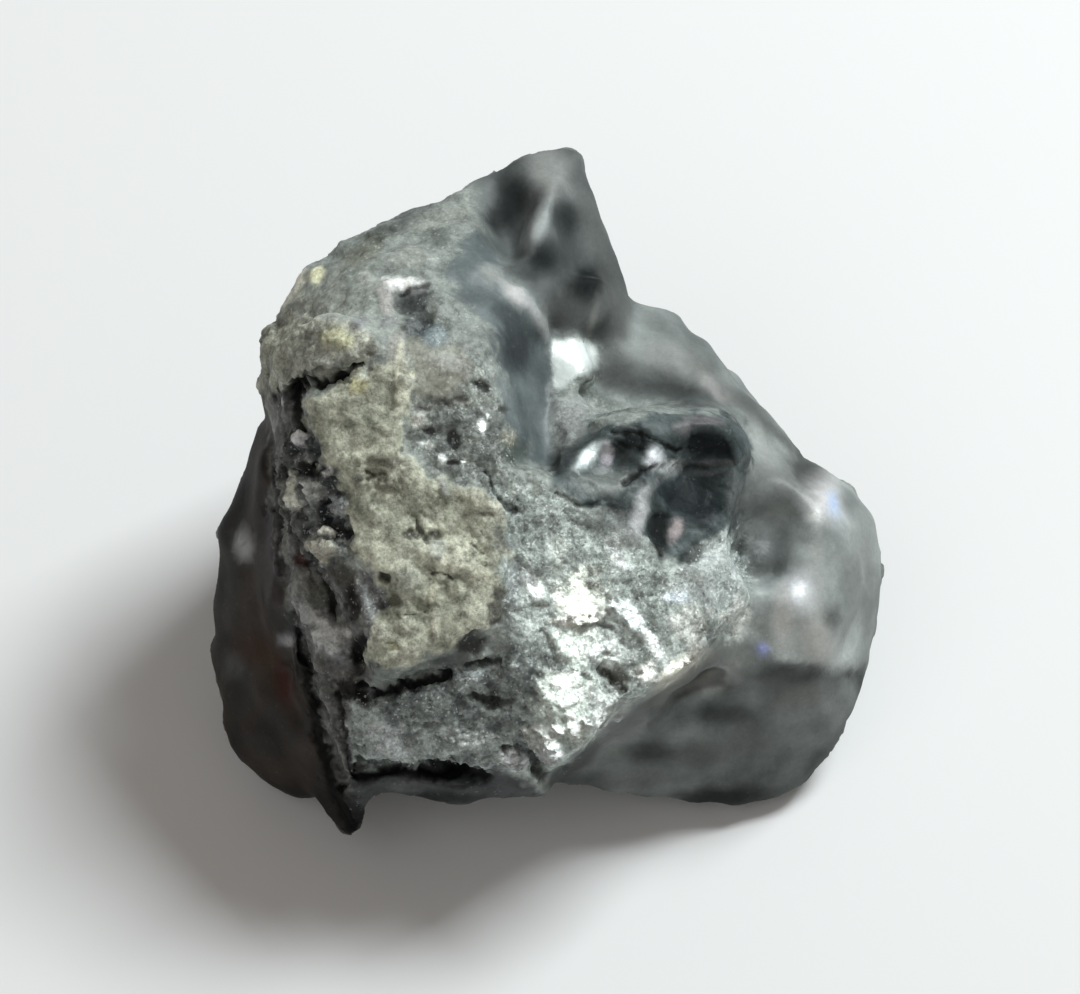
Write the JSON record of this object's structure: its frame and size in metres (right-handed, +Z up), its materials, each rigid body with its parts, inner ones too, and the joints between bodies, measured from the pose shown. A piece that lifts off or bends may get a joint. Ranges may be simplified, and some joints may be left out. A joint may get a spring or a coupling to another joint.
{
  "type": "rough diamond",
  "caption": "Dark fractured rough diamond with a tan crust, a glassy pit, a pointed crystal and sparkling broken faces, resting on a flat cleavage.",
  "frame": {"origin": "centre of the bounding box at the flat cleavage that the stone rests on", "axes": "+Z up, +X along the longest side from the dark flank to the glassy lobe, -Y towards the foot of the broad face"},
  "size_m": [0.009, 0.008, 0.0065],
  "materials": {
    "fractured_diamond": "dark silvery grey crystal, glassy on its broken faces, with a dull tan crust on the front"
  },
  "bodies": {
    "root": {"rough_diamond": "fractured_diamond"}
  },
  "joints": []
}
